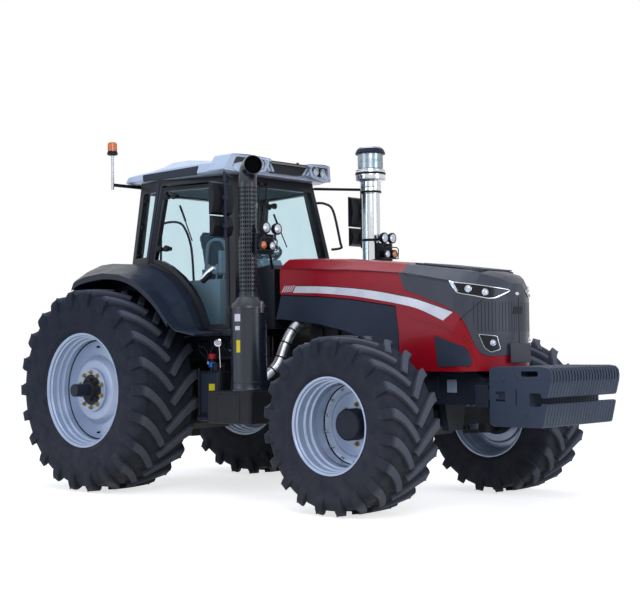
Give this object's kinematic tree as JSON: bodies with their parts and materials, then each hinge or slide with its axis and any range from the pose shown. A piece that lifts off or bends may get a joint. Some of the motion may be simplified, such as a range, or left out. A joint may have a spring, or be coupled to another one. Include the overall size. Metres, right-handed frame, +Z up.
{
  "type": "farm tractor",
  "caption": "Four-wheel-drive farm tractor with cab, front weights, tilting hood, steered front axle, rear three-point linkage and power take-off shaft.",
  "frame": {"origin": "on the ground, at the middle of the overall length and width", "axes": "+X forward, +Y to the driver's left, +Z up"},
  "size_m": [6.04, 3.014, 3.4797],
  "materials": {
    "tyre_rubber": "matte",
    "rim_silver": "satin",
    "cast_black": "satin",
    "frame_slate": "satin",
    "weight_slate": "satin",
    "engine_dark": "satin",
    "hood_red": "gloss",
    "nose_grey": "satin",
    "panel_mesh": "matte",
    "black_plastic": "matte",
    "exhaust_black": "satin",
    "bare_pipe": "brushed",
    "intake_chrome": "polished",
    "cab_black": "satin",
    "roof_white": "gloss",
    "glass_tint": "clear",
    "fender_slate": "satin",
    "seat_fabric": "woven",
    "lamp_clear": "clear",
    "beacon_amber": "clear",
    "link_steel": "satin",
    "shaft_steel": "ground"
  },
  "bodies": {
    "chassis": {"beacon": "beacon_amber", "cab_frame": "cab_black", "cab_glass": "glass_tint", "cab_roof": "roof_white", "cowl": "black_plastic", "engine": "engine_dark", "exhaust_pipe": "bare_pipe", "exhaust_stack": "exhaust_black", "fender_left": "fender_slate", "fender_right": "fender_slate", "front_axle": "cast_black", "front_frame": "frame_slate", "front_weights": "weight_slate", "fuel_tank": "black_plastic", "intake_stack": "intake_chrome", "mirrors": "black_plastic", "muffler": "exhaust_black", "rear_axle_housing": "cast_black", "rear_coupling": "link_steel", "seat": "seat_fabric", "side_panels": "panel_mesh", "side_tanks": "black_plastic", "steering_console": "black_plastic", "steps": "frame_slate", "transmission": "cast_black", "work_lamps": "lamp_clear"},
    "rear_wheel_right": {"rear_tyre_right": "tyre_rubber", "rear_rim_right": "rim_silver", "rear_hub_right": "cast_black"},
    "rear_wheel_left": {"rear_tyre_left": "tyre_rubber", "rear_rim_left": "rim_silver", "rear_hub_left": "cast_black"},
    "front_wheel_right": {"front_tyre_right": "tyre_rubber", "front_rim_right": "rim_silver", "front_hub_right": "cast_black"},
    "front_wheel_left": {"front_tyre_left": "tyre_rubber", "front_rim_left": "rim_silver", "front_hub_left": "cast_black"},
    "knuckle_right": {"knuckle_right": "cast_black"},
    "knuckle_left": {"knuckle_left": "cast_black"},
    "tie_rod": {"steering_rod": "shaft_steel"},
    "hood": {"hood": "hood_red", "hood_nose": "nose_grey", "front_plate": "nose_grey"},
    "door_right": {"door_right": "cab_black", "door_glass_right": "glass_tint"},
    "door_left": {"door_left": "cab_black", "door_glass_left": "glass_tint"},
    "lift_arms": {"lift_arms": "link_steel"},
    "lift_rods": {"lift_rods": "link_steel"},
    "lower_links": {"lower_links": "link_steel"},
    "pto": {"pto_shaft": "shaft_steel"}
  },
  "joints": [
    {"name": "rear_right_spin", "type": "hinge", "parent": "chassis", "child": "rear_wheel_right", "pos_m": [-1.77, -1.1, 0.99], "axis": [0, 1, 0], "continuous": true},
    {"name": "rear_left_spin", "type": "hinge", "parent": "chassis", "child": "rear_wheel_left", "pos_m": [-1.77, 1.1, 0.99], "axis": [0, 1, 0], "continuous": true},
    {"name": "steer_right", "type": "hinge", "parent": "chassis", "child": "knuckle_right", "pos_m": [1.43, -0.83, 0.74], "axis": [0, 0, 1], "range_deg": [-35, 35]},
    {"name": "steer_left", "type": "hinge", "parent": "chassis", "child": "knuckle_left", "pos_m": [1.43, 0.83, 0.74], "axis": [0, 0, 1], "range_deg": [-35, 35]},
    {"name": "tie_rod_slide", "type": "slide", "parent": "chassis", "child": "tie_rod", "axis": [0, 1, 0], "range_m": [-0.12217, 0.12217]},
    {"name": "front_right_spin", "type": "hinge", "parent": "knuckle_right", "child": "front_wheel_right", "pos_m": [1.43, -1.12, 0.74], "axis": [0, 1, 0], "continuous": true},
    {"name": "front_left_spin", "type": "hinge", "parent": "knuckle_left", "child": "front_wheel_left", "pos_m": [1.43, 1.12, 0.74], "axis": [0, 1, 0], "continuous": true},
    {"name": "hood_tilt", "type": "hinge", "parent": "chassis", "child": "hood", "pos_m": [0.03, 0, 2.15], "axis": [0, -1, 0], "range_deg": [0, 45]},
    {"name": "door_right_swing", "type": "hinge", "parent": "chassis", "child": "door_right", "pos_m": [-0.33, -0.79909, 1.566], "axis": [-0.1581, 0.1403, 0.9774], "range_deg": [0, 75]},
    {"name": "door_left_swing", "type": "hinge", "parent": "chassis", "child": "door_left", "pos_m": [-0.33, 0.79909, 1.566], "axis": [0.1581, 0.1403, -0.9774], "range_deg": [0, 75]},
    {"name": "lift", "type": "hinge", "parent": "chassis", "child": "lift_arms", "pos_m": [-2.1, 0, 1.4], "axis": [0, 1, 0], "range_deg": [-20, 35]},
    {"name": "lift_rod_swing", "type": "hinge", "parent": "lift_arms", "child": "lift_rods", "pos_m": [-2.53, 0, 1.3], "axis": [0, 1, 0], "range_deg": [-40, 23]},
    {"name": "lower_link_swing", "type": "hinge", "parent": "chassis", "child": "lower_links", "pos_m": [-2.13, 0, 0.64], "axis": [0, 1, 0], "range_deg": [-20, 35]},
    {"name": "pto_spin", "type": "hinge", "parent": "chassis", "child": "pto", "pos_m": [-2.27, 0, 0.88], "axis": [1, 0, 0], "continuous": true}
  ],
  "couplings": [
    {"joint": "steer_left", "follows": "steer_right", "ratio": 1},
    {"joint": "tie_rod_slide", "follows": "steer_right", "m_per_rad": -0.2},
    {"joint": "lift_rod_swing", "follows": "lift", "ratio": -1.12},
    {"joint": "lower_link_swing", "follows": "lift", "ratio": 1}
  ]
}
